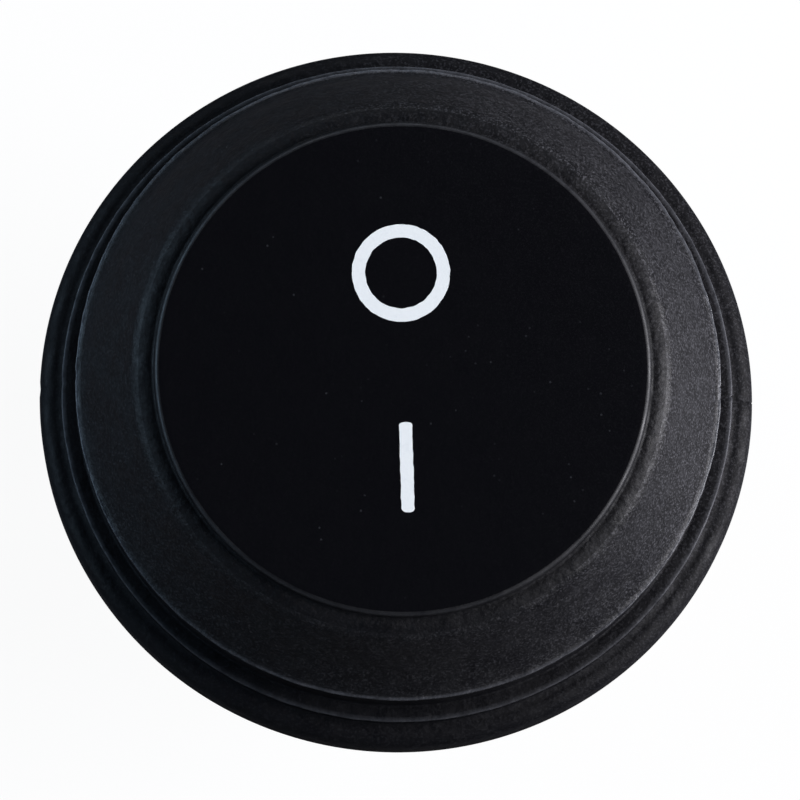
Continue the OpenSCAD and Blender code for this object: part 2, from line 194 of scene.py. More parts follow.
def round_ring(bm, r, z, reach, segments):
    """Rounds the ring edge at a radius and height."""
    edges = [e for e in bm.edges if all(on_ring(v, r, z) for v in e.verts)]
    if not edges:
        raise RuntimeError(f"no ring at radius {r}, height {z}")
    bmesh.ops.bevel(bm, geom=edges, offset=reach, offset_type="OFFSET", affect="EDGES",
                    segments=segments, profile=0.5, material=-1)


def finish_mesh(bm, name, materials, smooth=True):
    """Brings the shape to metres and puts it in the scene as one object."""
    bmesh.ops.scale(bm, vec=(MM, MM, MM), verts=bm.verts)
    mesh = bpy.data.meshes.new(name)
    bm.to_mesh(mesh)
    bm.free()
    mesh.polygons.foreach_set("use_smooth", [smooth] * len(mesh.polygons))
    for material in materials:
        mesh.materials.append(material)
    piece = bpy.data.objects.new(name, mesh)
    bpy.context.scene.collection.objects.link(piece)
    return piece


def flat_normals(piece):
    """Keeps wide faces flat beside narrow rounded edges."""
    modifier = piece.modifiers.new("Weighted normals", "WEIGHTED_NORMAL")
    modifier.weight = 90


# Material helpers


class Finish:
    """A node material with patterns in millimetres on object coordinates."""

    def __init__(self, name, base, rough, metallic=0.0, specular=0.5):
        self.mat = bpy.data.materials.new(name)
        self.mat.use_nodes = True
        self.tree = self.mat.node_tree
        self.bsdf = self.tree.nodes["Principled BSDF"]
        self.bsdf.inputs["Metallic"].default_value = metallic
        self.bsdf.inputs["Specular IOR Level"].default_value = specular
        self.bsdf.inputs["Roughness"].default_value = rough
        self.bsdf.inputs["Base Color"].default_value = (*base, 1)
        self.base = tuple(base)
        self.normal = None
        self.coords = self.add("ShaderNodeTexCoord").outputs["Object"]

    def add(self, kind):
        return self.tree.nodes.new(kind)

    def link(self, a, b):
        self.tree.links.new(a, b)

    def place(self, stretch=(1, 1, 1), turn=(0, 0, 0)):
        """Object coordinates in millimetres, turned and stretched."""
        mapping = self.add("ShaderNodeMapping")
        mapping.inputs["Scale"].default_value = [s / MM for s in stretch]
        mapping.inputs["Rotation"].default_value = turn
        self.link(self.coords, mapping.inputs["Vector"])
        return mapping.outputs["Vector"]

    def across(self, azimuth):
        """Distance from the middle towards an azimuth, in millimetres."""
        split = self.add("ShaderNodeSeparateXYZ")
        self.link(self.place(turn=(0, 0, -azimuth)), split.inputs[0])
        return split.outputs["X"]

    def noise(self, scale, detail=3.0, rough=0.55, vector=None):
        node = self.add("ShaderNodeTexNoise")
        node.inputs["Scale"].default_value = scale
        node.inputs["Detail"].default_value = detail
        node.inputs["Roughness"].default_value = rough
        self.link(vector or self.place(), node.inputs["Vector"])
        return node.outputs["Fac"]

    def cells(self, scale, feature="F1", vector=None):
        node = self.add("ShaderNodeTexVoronoi")
        node.feature = feature
        node.inputs["Scale"].default_value = scale
        self.link(vector or self.place(), node.inputs["Vector"])
        return node.outputs["Distance"]

    def ramp(self, value, start, end, low=0.0, high=1.0):
        node = self.add("ShaderNodeMapRange")
        node.interpolation_type = "SMOOTHSTEP"
        for key, number in (("From Min", start), ("From Max", end), ("To Min", low), ("To Max", high)):
            node.inputs[key].default_value = number
        self.link(value, node.inputs["Value"])
        return node.outputs["Result"]

    def math(self, operation, a, b):
        node = self.add("ShaderNodeMath")
        node.operation = operation
        for socket, value in zip(node.inputs, (a, b)):
            if isinstance(value, (int, float)):
                socket.default_value = value
            else:
                self.link(value, socket)
        return node.outputs["Value"]

    def attribute(self, name):
        node = self.add("ShaderNodeAttribute")
        node.attribute_name = name
        return node.outputs["Fac"]

    def tint(self, fac, other):
        """Mixes another colour into the base colour where fac is high."""
        node = self.add("ShaderNodeMix")
        node.data_type = "RGBA"
        first, second = node.inputs[6], node.inputs[7]
        target = self.bsdf.inputs["Base Color"]
        if target.is_linked:
            self.link(target.links[0].from_socket, first)
        else:
            first.default_value = (*self.base, 1)
        second.default_value = (*other, 1)
        self.link(fac, node.inputs[0])
        self.link(node.outputs[2], target)

    def roughness(self, fac, low, high):
        self.link(self.ramp(fac, 0.25, 0.75, low, high), self.bsdf.inputs["Roughness"])

    def bump(self, height, depth, strength=1.0):
        """Adds relief of a depth in millimetres."""
        node = self.add("ShaderNodeBump")
        node.inputs["Distance"].default_value = depth * MM
        node.inputs["Strength"].default_value = strength
        self.link(height, node.inputs["Height"])
        if self.normal:
            self.link(self.normal, node.inputs["Normal"])
        self.normal = node.outputs["Normal"]
        self.link(self.normal, self.bsdf.inputs["Normal"])


# Sides towards which the rubber's painted sheen and its paler thin edges are strongest, and how much
# smoother those edges are
LIT_SIDE = math.radians(25)
O_SIDE = math.radians(90)
WORN_POLISH = 0.38


def rubber(name, colours, grain, depth, rough, specular, sheen_and_grain, patches=0.08):
    """Moulded black rubber with a spark-eroded grain, its size and depth in millimetres.

    Pale blotches and the grain's specks are stronger towards the lit side, a little above the
    right-hand end: a painted sheen.
    An attribute marks thin edges, which are paler and smoother, most of all on the O side: the paler
    tone is partly wear and flash, partly a painted edge highlight.
    """
    f = Finish(name, colours.rubber, rough, specular=specular)
    fine = f.noise(1.7 / grain, 3.0, 0.6)
    speck = f.noise(2.5 / grain, 2.0, 0.65)
    pebble = f.cells(0.75 / grain, "SMOOTH_F1")
    broad = f.noise(0.9, 3.0, 0.6)
    # Painted sheen: pale blotches and the grain's specks are stronger towards the lit side
    lit_side = f.ramp(f.across(LIT_SIDE), -2.0, 10.0, sheen_and_grain * 0.34, sheen_and_grain * 1.35)
    sheen_blotch = f.ramp(f.noise(2.2, 4.0, 0.7), 0.44, 0.64, 0.0, 0.16)
    f.tint(f.math("MULTIPLY", sheen_blotch, lit_side), colours.rubber_grain_and_sheen)
    f.tint(f.math("MULTIPLY", f.ramp(speck, 0.5, 0.66), lit_side), colours.rubber_grain_and_sheen)
    # Thin edges are paler and smoother, partly for wear and flash and partly as a painted edge
    # highlight, stronger towards the O side
    o_side = f.ramp(f.across(O_SIDE), -10.0, 2.0, 0.5, 1.0)
    wear_and_glint = f.math("MULTIPLY", f.attribute("wear_and_glint"), o_side)
    nicks = f.ramp(f.noise(3.2, 4.0, 0.7), 0.3, 0.62, 0.45, 1.0)
    f.tint(f.math("MULTIPLY", wear_and_glint, nicks), colours.rubber_wear_glint_dust)
    matte = f.ramp(fine, 0.25, 0.75, rough - 0.06, rough + 0.08)
    sheen = f.ramp(broad, 0.38, 0.62, patches, -patches)
    polish = f.math("MULTIPLY", wear_and_glint, WORN_POLISH)
    f.link(f.math("SUBTRACT", f.math("ADD", matte, sheen), polish), f.bsdf.inputs["Roughness"])
    f.bump(broad, depth * 4.0)
    f.bump(pebble, depth * 0.8)
    f.bump(fine, depth * 0.7)
    f.bump(speck, depth * 0.4)
    return f


def disc_rubber(colours):
    """The pressing disc: finer grain, with a few specks of dust."""
    f = rubber("disc_rubber", colours, grain=0.14, depth=0.004, rough=0.6, specular=0.03,
               sheen_and_grain=0.035, patches=0.03)
    dust = f.ramp(f.cells(2.4), 0.05, 0.11, 1.0, 0.0)
    sparse = f.ramp(f.noise(0.7, 1.0, 0.5), 0.5, 0.66)
    f.tint(f.math("MULTIPLY", f.math("MULTIPLY", dust, sparse), 0.2), colours.rubber_wear_glint_dust)
    return f


def ink_finish(colours):
    f = Finish("printing_ink", colours.ink, 0.5, specular=0.3)
    thin = f.noise(4.5, 4.0, 0.7)
    f.tint(f.ramp(thin, 0.5, 0.85, 0.0, 0.22), (0.45, 0.47, 0.5))
    f.roughness(thin, 0.45, 0.6)
    f.bump(f.noise(9.0, 2.0, 0.6), 0.004)
    return f


def nylon(name, base, pale):
    """Moulded nylon with a satin skin, flow marks and scuffed high spots."""
    f = Finish(name, base, 0.42, specular=0.45)
    skin = f.noise(9.0, 4.0, 0.65)
    flow = f.noise(0.55, 2.0, 0.5, f.place((1, 1, 0.3)))
    f.tint(f.ramp(flow, 0.35, 0.8, 0.0, 0.55), pale)
    scuff = f.math("MULTIPLY", f.ramp(f.noise(2.2, 5.0, 0.75), 0.58, 0.72), 0.5)
    f.tint(scuff, [c * 2.2 for c in pale])
    f.roughness(skin, 0.36, 0.52)
    f.bump(flow, 0.02)
    f.bump(skin, 0.006)
    return f


def acetal(colours):
    f = Finish("natural_acetal", colours.acetal, 0.35, specular=0.5)
    f.bsdf.inputs["Subsurface Weight"].default_value = 0.15
    f.bsdf.inputs["Subsurface Radius"].default_value = (0.0006, 0.0005, 0.0004)
    cloud = f.noise(1.4, 3.0, 0.55)
    f.tint(f.ramp(cloud, 0.35, 0.8, 0.0, 0.5), (0.70, 0.66, 0.56))
    f.roughness(cloud, 0.28, 0.42)
    f.bump(f.noise(8.0, 3.0, 0.6), 0.003)
    return f


def strip_metal(name, base, dark, rough, along):
    """Rolled or stamped strip: fine lines along one axis, tarnish and small scratches."""
    f = Finish(name, base, rough, metallic=1.0)
    stretch = [0.06 if axis == along else 1.0 for axis in "XYZ"]
    lines = f.noise(16.0, 4.0, 0.7, f.place(stretch))
    tarnish = f.noise(0.8, 4.0, 0.65)
    scratch = f.noise(7.0, 2.0, 0.8, f.place((1, 0.12, 0.7), (0.4, 0.3, 0.9)))
    f.tint(f.ramp(tarnish, 0.42, 0.75, 0.0, 0.55), dark)
    f.tint(f.ramp(scratch, 0.62, 0.7, 0.0, 0.3), [min(1.0, c * 1.25) for c in base])
    f.roughness(f.math("MULTIPLY", f.math("ADD", lines, tarnish), 0.5), rough - 0.08, rough + 0.12)
    f.bump(lines, 0.004)
    f.bump(scratch, 0.003)
    return f


def drawn_wire(colours):
    f = Finish("spring_wire", colours.steel, 0.28, metallic=1.0)
    lines = f.noise(14.0, 3.0, 0.6, f.place((1, 1, 0.4)))
    f.tint(f.ramp(f.noise(1.6, 3.0, 0.6), 0.4, 0.75, 0.0, 0.5), (0.32, 0.31, 0.30))
    f.roughness(lines, 0.22, 0.38)
    f.bump(lines, 0.003)
    return f


def silver_finish(colours):
    """Silver contact face with a light sulphide bloom."""
    f = Finish("contact_silver", colours.silver, 0.3, metallic=1.0)
    bloom = f.noise(1.9, 4.0, 0.65)
    f.tint(f.ramp(bloom, 0.4, 0.78, 0.0, 0.6), (0.48, 0.42, 0.34))
    f.roughness(bloom, 0.24, 0.44)
    f.bump(f.noise(10.0, 3.0, 0.6), 0.004)
    return f


# Boot


# Fall of the step ring's top from its root to its edge, in millimetres
STEP_FALL = 0.06
# Width of the polished rim of the disc
RIM_WIDTH = 0.15
# Thickness of the cone's wall, and height of the disc's underside
CONE_WALL = 0.62
DISC_UNDER = 6.85
# Pocket that grips the housing's flange, as [radius, height] points from the skirt's foot inwards
POCKET = [(10.55, 0.0), (9.95, 0.1), (9.95, 0.48), (10.32, 0.48), (10.32, 1.62), (9.56, 1.62)]
# Places of the cone's rings, as shares of its length from the shoulder
CONE_RINGS = (0.12, 0.2, 0.3, 0.4, 0.5, 0.6, 0.7, 0.8, 0.87, 0.91, 0.94, 0.97, 1.0)
FLARE_START = 0.88
INNER_RINGS = (0.98, 0.85, 0.7, 0.55, 0.4, 0.25, 0.16)
# Heights between which the rubber bends, and angle of the parting lines below 3 and 9 o'clock
BEND_LOW = 3.2
BEND_HIGH = 6.15
PARTING = math.radians(-0.75)
# Materials of the boot's zones
BAND, DISC, SHELF, SKIRT, RIM = range(5)


def boot_profile(s):
    """Half section of the boot in millimetres, level, from the disc's centre round to the pocket."""
    bezel, step, lip = s.bezel_d / 2 / MM, s.step_d / 2 / MM, s.lip_d / 2 / MM
    disc, shoulder = s.disc_d / 2 / MM, s.shoulder_d / 2 / MM
    step_h, lip_h = s.step_h / MM, s.lip_h / MM
    shelf_h, disc_h = s.shelf_h / MM, s.disc_h / MM
    flash = s.flash / MM
    corner = Vector((shoulder, shelf_h))
    foot = Vector((lip - 0.12 - s.flare / MM, lip_h))
    cone = []
    for t in CONE_RINGS:
        point = corner.lerp(foot, t)
        point.x += s.flare / MM * max(0.0, (t - FLARE_START) / (1 - FLARE_START)) ** 2
        cone.append(tuple(point))
    inner_foot = Vector((lip - 0.08, lip_h))
    lay = (inner_foot - corner).normalized()
    inward = Vector((lay.y, -lay.x)) * CONE_WALL
    inner = [tuple(corner.lerp(inner_foot, t) + inward) for t in INNER_RINGS]
    outside = [
        (0, disc_h), (disc * 0.35, disc_h), (disc * 0.7, disc_h), (disc - 0.3, disc_h),
        (disc, disc_h), (disc + 0.04, shelf_h), (disc + 0.13, shelf_h), tuple(corner), *cone,
        (lip - 0.05, lip_h - flash * 0.2), (lip - 0.015, lip_h - flash * 0.4), (lip, lip_h - 0.07),
        (lip - 0.02, lip_h - 0.14), (lip - 0.05, lip_h - 0.2), (lip - 0.05, step_h + 0.04),
        (lip - 0.02, step_h - 0.01), (lip + 0.05, step_h),
        (step - 0.18, step_h - STEP_FALL * 0.7), (step, step_h - STEP_FALL),
        (step - 0.06, step_h - 0.26), (step - 0.06, 1.4), (step, s.bezel_top / MM),
        (bezel, s.bezel_top / MM - 0.02), (bezel, 0.6), (bezel, 0.0), (bezel - 0.5, 0.0),
    ]
    inside = [*POCKET, *inner, (7.4, 6.45), (7.4, DISC_UNDER), (0, DISC_UNDER)]
    return outside + inside


def bend_share(z):
    """Share of the rocker's tilt that the rubber takes at a level height."""
    t = min(1.0, max(0.0, (z - BEND_LOW) / (BEND_HIGH - BEND_LOW)))
    return t * t * (3 - 2 * t)


def bend_boot(bm):
    """Turns each level ring about the pivot by its share of the tilt."""
    rings = {}
    for v in bm.verts:
        rings.setdefault(round(v.co.z, 3), []).append(v)
    for z, verts in rings.items():
        angle = REST_TILT * bend_share(z)
        if angle:
            bmesh.ops.rotate(bm, cent=PIVOT, matrix=Matrix.Rotation(angle, 3, "X"), verts=verts)


def off_parting(co):
    """Angle from the nearer parting line, which runs a little below 3 and 9 o'clock."""
    angle = math.atan2(co.y, co.x) if co.x > 0 else -math.atan2(co.y, -co.x)
    return angle - PARTING


def at_parting(co):
    return abs(off_parting(co)) < 1e-4


def narrow_parting(bm, sides):
    """Draws the rings' points beside each parting line close to it, so that its nick is fine."""
    step = 2 * math.pi / sides
    for v in bm.verts:
        off = off_parting(v.co)
        if v.co.xy.length > 10 and 0.5 * step < abs(off) < 1.5 * step:
            turn = -0.7 * off if v.co.x > 0 else 0.7 * off
            bmesh.ops.rotate(bm, cent=(0, 0, 0), matrix=Matrix.Rotation(turn, 3, "Z"), verts=[v])


def wear_and_glint_edges(bm, edges):
    """Marks the thin edges that are paled, partly for wear and flash and partly as a painted edge
    highlight. Each one is a radius, a height, a reach and an amount.
    """
    wear_and_glint = bm.verts.layers.float.new("wear_and_glint")
    for v in bm.verts:
        r = math.hypot(v.co.x, v.co.y)
        for at_r, at_z, reach, amount in edges:
            near = math.hypot(r - at_r, v.co.z - at_z)
            v[wear_and_glint] = min(1.0, max(v[wear_and_glint], amount * max(0.0, 1 - near / reach)))


def roughen(bm, lip, step, nick):
    """Ragged flash on the lip, slight waviness of the step and a nick at each parting line."""
    for v in bm.verts:
        r = math.hypot(v.co.x, v.co.y)
        out = Vector((v.co.x, v.co.y, 0)) / max(r, 1e-6)
        if abs(r - lip[0]) < 0.07 and v.co.z > lip[1] - 0.08:
            ragged = noise.noise(v.co * 2.1) + 0.8 * noise.noise(v.co * 5.3)
            v.co += out * 0.016 * ragged + Vector((0, 0, 0.02 * ragged))
        elif abs(r - step[0]) < 0.12 and abs(v.co.z - step[1]) < 0.12:
            v.co += out * 0.012 * noise.noise(v.co * 1.7)
        if r > lip[0] - 0.1 and v.co.z > 0.05 and at_parting(v.co):
            v.co -= out * (nick if v.co.x > 0 else 0.5 * nick)


class SWITCH_OT_boot(Operator):
    """Rubber boot: bezel, step ring, lip with flash, cone, shelf and disc"""

    bl_idname = "switch.boot"
    bl_label = "Rubber boot"

    def execute(self, context):
        s, colours = context.scene.switch_boot, context.scene.switch_colours
        lip, step, disc = s.lip_d / 2 / MM, s.step_d / 2 / MM, s.disc_d / 2 / MM
        bezel, shoulder = s.bezel_d / 2 / MM, s.shoulder_d / 2 / MM
        shelf_h, disc_h, lip_h = s.shelf_h / MM, s.disc_h / MM, s.lip_h / MM
        step_top = s.step_h / MM - STEP_FALL
        bm = spin_profile(boot_profile(s), s.sides)
        round_ring(bm, bezel, s.bezel_top / MM - 0.02, s.bezel_round / MM, 8)
        round_ring(bm, bezel, 0.0, 0.2, 4)
        round_ring(bm, shoulder, shelf_h, s.shoulder_round / MM, 8)
        round_ring(bm, disc, disc_h, s.rim_round / MM, 5)
        round_ring(bm, step, step_top, s.step_round / MM, 4)
        narrow_parting(bm, s.sides)

        # Thin edges that are paled, partly for wear and flash and partly as a painted edge highlight
        wear_and_glint_edges(bm, ((disc - 0.03, disc_h - 0.02, 0.1, 0.3),
                        (lip - 0.03, lip_h - 0.01, 0.075, 1.4),
                        (step - 0.03, step_top - 0.02, 0.11, 0.9),
                        (bezel, 0.9, 0.2, 0.12)))
        for face in bm.faces:
            middle = face.calc_center_median()
            r = math.hypot(middle.x, middle.y)
            if r < disc + 0.01 and middle.z > shelf_h + 0.02:
                face.material_index = DISC if r < disc - RIM_WIDTH else RIM
            elif r < shoulder - 0.02 and middle.z > shelf_h - 0.1:
                face.material_index = SHELF
            elif middle.z < lip_h - 0.02 or r > lip - 0.02:
                face.material_index = SKIRT
        roughen(bm, (lip, lip_h), (step, step_top), s.nick / MM)
        bend_boot(bm)
        # Each zone has its own strength of painted sheen on the lit side
        band = rubber("band_rubber", colours, grain=0.18, depth=0.022, rough=0.5, specular=0.22,
                      sheen_and_grain=0.7)
        shelf = rubber("shelf_rubber", colours, grain=0.22, depth=0.022, rough=0.55, specular=0.16,
                       sheen_and_grain=0.22)
        skirt = rubber("bezel_rubber", colours, grain=0.2, depth=0.014, rough=0.55, specular=0.12,
                       sheen_and_grain=0.25)
        rim = rubber("rim_rubber", colours, grain=0.14, depth=0.002, rough=0.5, specular=0.3,
                     sheen_and_grain=0.05)
        mats = [band.mat, disc_rubber(colours).mat, shelf.mat, skirt.mat, rim.mat]
        boot = finish_mesh(bm, "rubber_boot", mats)
        flat_normals(boot)
        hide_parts("boot")
        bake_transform(boot)
        return {"FINISHED"}


# Printed marks


def lay_on_disc(bm, marks, disc_h):
    """Turns a print by its skew and lays it on the tilted disc."""
    bmesh.ops.rotate(bm, cent=(0, 0, 0), matrix=Matrix.Rotation(marks.skew, 3, "Z"), verts=bm.verts)
    bmesh.ops.translate(bm, vec=(0.02, 0, disc_h - 0.004), verts=bm.verts)
    bmesh.ops.rotate(bm, cent=PIVOT, matrix=TILTED.to_3x3(), verts=bm.verts)


def thicken(bm, faces, height):
    """Raises a flat print to the thickness of its ink."""
    raised = bmesh.ops.extrude_face_region(bm, geom=faces, use_keep_orig=True)
    verts = [g for g in raised["geom"] if isinstance(g, bmesh.types.BMVert)]
    bmesh.ops.translate(bm, vec=(0, 0, height), verts=verts)
    bmesh.ops.recalc_face_normals(bm, faces=bm.faces)


def ragged_outline(bm, amount, seed):
    """Makes the outline of a print slightly uneven."""
    offset = Vector((seed * 7.3, seed * 3.1, 0))
    for v in bm.verts:
        flat = Vector((v.co.x, v.co.y, 0))
        v.co.x += amount * noise.noise(flat * 5 + offset)
        v.co.y += amount * noise.noise(flat * 5 - offset)


class SWITCH_OT_marks(Operator):
    """Printed O and I on the disc"""

    bl_idname = "switch.marks"
    bl_label = "Printed marks"

    def execute(self, context):
        marks, colours = context.scene.switch_marks, context.scene.switch_colours
        disc_h = context.scene.switch_boot.disc_h / MM
        ink = ink_finish(colours).mat
        height = marks.ink_t / MM + 0.004

        bm = bmesh.new()
        outer, stroke = marks.ring_d / 2 / MM, marks.stroke / MM
        rings = [bmesh.ops.create_circle(bm, segments=160, radius=r)["verts"]
                 for r in (outer, outer - stroke)]
        edges = [e for ring in rings for e in {e for v in ring for e in v.link_edges}]
        faces = bmesh.ops.bridge_loops(bm, edges=edges)["faces"]
        ragged_outline(bm, 0.02, 1)
        thicken(bm, faces, height)
        bmesh.ops.translate(bm, vec=(0, marks.ring_y / MM, 0), verts=bm.verts)
        lay_on_disc(bm, marks, disc_h)
        mark_o = finish_mesh(bm, "mark_o", [ink], smooth=False)

        bm = bmesh.new()
        width, reach = stroke * 0.98, marks.bar / MM
        bmesh.ops.create_grid(bm, x_segments=1, y_segments=24, size=0.5)
        bmesh.ops.scale(bm, vec=(width, reach, 1), verts=bm.verts)
        corners = [v for v in bm.verts if len(v.link_edges) == 2]
        bmesh.ops.bevel(bm, geom=corners, offset=width * 0.36, offset_type="OFFSET",
                        affect="VERTICES", segments=5, profile=0.5, material=-1)
        ragged_outline(bm, 0.02, 2)
        thicken(bm, list(bm.faces), height)
        bmesh.ops.translate(bm, vec=(0, -marks.bar_y / MM, 0), verts=bm.verts)
        lay_on_disc(bm, marks, disc_h)
        mark_i = finish_mesh(bm, "mark_i", [ink], smooth=False)
        for piece in (mark_o, mark_i):
            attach(piece, "rocker")
        return {"FINISHED"}


# Springs


class SWITCH_OT_springs(Operator):
    """Coil springs behind the plungers"""

    bl_idname = "switch.springs"
    bl_label = "Plunger springs"

    def execute(self, context):
        wire = drawn_wire(context.scene.switch_colours).mat
        wire_r = 0.14
        coil_r = 0.9
        turns = 6.5
        steps_per_turn = 32
        # Ends of the spring from the pivot's height, and the plunger's travel
        low, high = -1.78, 2.58
        closed = 2.1 * wire_r
        pitch = (high - low - 2 * wire_r - 2 * closed) / (turns - 2)
        for side, sign in SIDES.items():
            bm = bmesh.new()
            upright = Matrix.Rotation(math.pi / 2, 4, "X")
            bmesh.ops.create_circle(bm, segments=12, radius=wire_r, cap_ends=True,
                                    matrix=Matrix.Translation((coil_r, 0, low + wire_r)) @ upright)
            geom = [*bm.verts, *bm.edges, *bm.faces]
            for count, rise in ((1, closed), (turns - 2, pitch), (1, closed)):
                steps = round(steps_per_turn * count)
                made = bmesh.ops.spin(bm, geom=geom, cent=(0, 0, 0), axis=(0, 0, 1),
                                      dvec=(0, 0, rise * count / steps),
                                      angle=2 * math.pi * count, steps=steps)
                geom = made["geom_last"]
            bmesh.ops.remove_doubles(bm, verts=bm.verts, dist=1e-4)
            # The sections left between the coils go, and those at the wire's ends stay
            inner = [f for f in bm.faces
                     if len(f.verts) > 4 and any(len(e.link_faces) > 2 for e in f.edges)]
            bmesh.ops.delete(bm, geom=inner, context="FACES_ONLY")
            bmesh.ops.recalc_face_normals(bm, faces=bm.faces)
            bmesh.ops.translate(bm, vec=(sign * POLE_X, 0, PIVOT.z), verts=bm.verts)
            bmesh.ops.rotate(bm, cent=PIVOT, matrix=TILTED.to_3x3(), verts=bm.verts)
            spring = finish_mesh(bm, f"spring_{side}", [wire])
            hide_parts(f"plunger_spring_{side}")
            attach(spring, "rocker")
            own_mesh(spring)
        return {"FINISHED"}


# Finishes of the parts that keep their CAD shape


def dress(nodes, finish):
    for node in nodes:
        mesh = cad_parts[node].data
        mesh.materials.clear()
        mesh.materials.append(finish.mat)


def both(name):
    return [f"{name}_{side}" for side in SIDES]


class SWITCH_OT_mouldings(Operator):
    """Finishes of the housing, rocker and plungers"""

    bl_idname = "switch.mouldings"
    bl_label = "Moulded parts"

    def execute(self, context):
        c = context.scene.switch_colours
        dress(["housing"], nylon("housing_nylon", c.housing, [v * 1.7 for v in c.housing]))
        dress(["rocker"], nylon("rocker_nylon", c.rocker, [v * 1.5 for v in c.rocker]))
        dress(both("plunger"), acetal(c))
        return {"FINISHED"}


class SWITCH_OT_metalwork(Operator):
    """Finishes of the contacts and terminals"""

    bl_idname = "switch.metalwork"
    bl_label = "Contacts and terminals"

    def execute(self, context):
        c = context.scene.switch_colours
        terminal = strip_metal("terminal_brass", c.brass, (0.66, 0.48, 0.24), 0.34, "Z")
        arm = strip_metal("arm_bronze", c.bronze, (0.60, 0.36, 0.20), 0.3, "Y")
        dress(both("common_terminal") + both("load_terminal"), terminal)
        dress(both("contact_arm"), arm)
        dress(both("moving_contact") + both("fixed_contact"), silver_finish(c))
        return {"FINISHED"}


# Studio


# Point that the lights face, in metres
LIGHT_AIM = Vector((0, 0, 0.004))


def soft_light(name, azimuth, elevation, distance, size, power, tone):
    """An area light that faces the switch. Azimuth is from +X towards +Y, lengths are in metres."""
    data = bpy.data.lights.new(name, "AREA")
    data.shape = "RECTANGLE"
    data.size, data.size_y = size
    data.energy = power
    data.color = tone
    lamp = bpy.data.objects.new(name, data)
    a, e = math.radians(azimuth), math.radians(elevation)
    away = Vector((math.cos(e) * math.cos(a), math.cos(e) * math.sin(a), math.sin(e)))
    lamp.location = LIGHT_AIM + away * distance
    lamp.rotation_euler = away.to_track_quat("Z", "Y").to_euler()
    lamp.visible_camera = False
    bpy.context.scene.collection.objects.link(lamp)
    return lamp


# Floor: radius in millimetres, gap under the terminals, and share of plain white by distance
FLOOR_RADIUS = 3000
FLOOR_GAP = 0.02
FLOOR_WHITE = {"From Min": 0.03, "From Max": 0.2, "To Min": 0.93, "To Max": 1.0}

# Bright spot on the right that gloss mirrors: its middle, and its strength by distance, in metres
GLOW_MIDDLE = (0.052, 0.0, CAD_BOX[0][2])
GLOW = {"From Min": 0.012, "From Max": 0.039, "To Min": 0.54, "To Max": 0.065}
GLOW_TONE = (0.92, 0.91, 1.0, 1)

# Strength of the sky by its height, from near the horizon to overhead
SKY = {"From Min": 0.3, "From Max": 0.75, "To Min": 0.34, "To Max": 0.012}
SKY_TONE = (0.8, 0.87, 1.0, 1)


def graded(nodes, numbers, smooth=False):
    """A map range node with the given ends."""
    node = nodes.new("ShaderNodeMapRange")
    node.interpolation_type = "SMOOTHSTEP" if smooth else "LINEAR"
    for key, number in numbers.items():
        node.inputs[key].default_value = number
    return node


def floor_material():
    """White to the camera with a soft shadow. Gloss mirrors a floor that is bright on the right."""
    mat = bpy.data.materials.new("floor_white")
    mat.use_nodes = True
    nodes, links = mat.node_tree.nodes, mat.node_tree.links
    matte = nodes["Principled BSDF"]
    matte.inputs["Base Color"].default_value = (0.85, 0.85, 0.85, 1)
    matte.inputs["Roughness"].default_value = 0.9
    matte.inputs["Specular IOR Level"].default_value = 0.0
    white = nodes.new("ShaderNodeEmission")
    mirrored = nodes.new("ShaderNodeEmission")
    white.inputs["Strength"].default_value = 1.0
    mirrored.inputs["Color"].default_value = GLOW_TONE
    coords = nodes.new("ShaderNodeTexCoord")
    reach = nodes.new("ShaderNodeVectorMath")
    reach.operation = "DISTANCE"
    reach.inputs[1].default_value = GLOW_MIDDLE
    fade = graded(nodes, GLOW, smooth=True)
    links.new(coords.outputs["Object"], reach.inputs[0])
    links.new(reach.outputs["Value"], fade.inputs["Value"])
    links.new(fade.outputs["Result"], mirrored.inputs["Strength"])
    path = nodes.new("ShaderNodeLightPath")
    shadowed, glossy, seen = (nodes.new("ShaderNodeMixShader") for _ in range(3))
    beside = nodes.new("ShaderNodeVectorMath")
    clear = graded(nodes, FLOOR_WHITE)
    beside.operation = "LENGTH"
    links.new(coords.outputs["Object"], beside.inputs[0])
    links.new(beside.outputs["Value"], clear.inputs["Value"])
    links.new(clear.outputs["Result"], shadowed.inputs["Fac"])
    links.new(matte.outputs[0], shadowed.inputs[1])
    links.new(white.outputs[0], shadowed.inputs[2])
    links.new(path.outputs["Is Glossy Ray"], glossy.inputs["Fac"])
    links.new(matte.outputs[0], glossy.inputs[1])
    links.new(mirrored.outputs[0], glossy.inputs[2])
    direct = nodes.new("ShaderNodeMath")
    direct.operation = "MAXIMUM"
    links.new(path.outputs["Is Camera Ray"], direct.inputs[0])
    links.new(path.outputs["Is Transmission Ray"], direct.inputs[1])
    links.new(direct.outputs[0], seen.inputs["Fac"])
    links.new(glossy.outputs[0], seen.inputs[1])
    links.new(shadowed.outputs[0], seen.inputs[2])
    links.new(seen.outputs[0], nodes["Material Output"].inputs["Surface"])
    return mat


